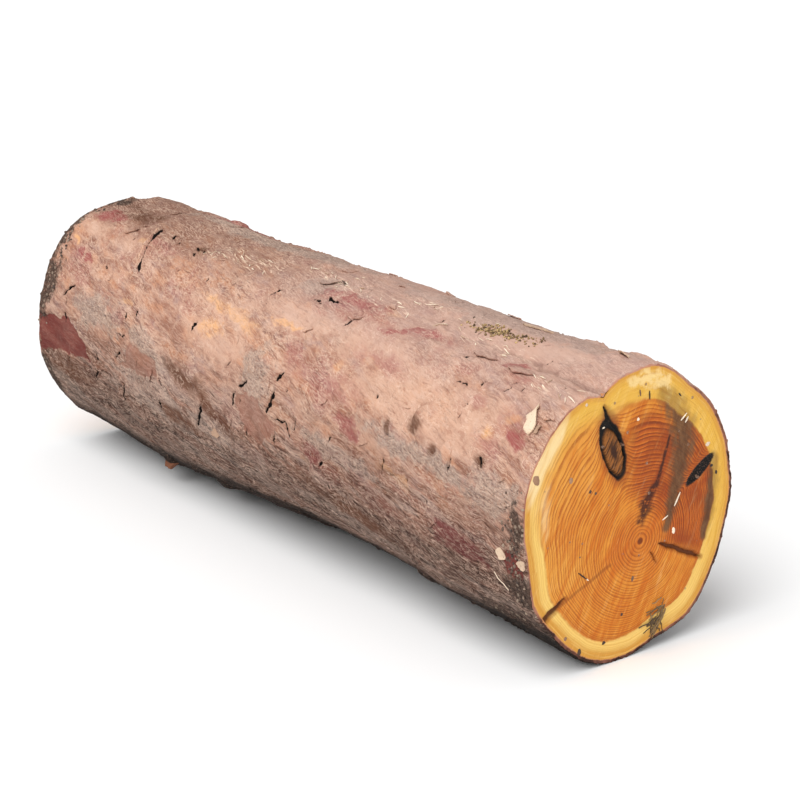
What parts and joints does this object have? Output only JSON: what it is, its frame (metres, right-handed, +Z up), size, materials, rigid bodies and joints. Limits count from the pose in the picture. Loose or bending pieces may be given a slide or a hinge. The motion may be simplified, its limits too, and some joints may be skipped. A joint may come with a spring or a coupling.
{
  "type": "wood log",
  "caption": "Length of yew trunk with thin flaky bark, fluted at one end where the bark folds into a cleft, sawn square at the ends and lying on its side.",
  "frame": {"origin": "on the ground under the middle of the log's box", "axes": "+X along the trunk towards the sawn end with the cleft and the knots, +Z up, -Y towards the side that the picture shows"},
  "size_m": [0.655, 0.2096, 0.2166],
  "materials": {
    "bark": "rough",
    "sawn_wood": "matt",
    "moss": "rough"
  },
  "bodies": {
    "root": {"log": "bark"}
  },
  "joints": []
}
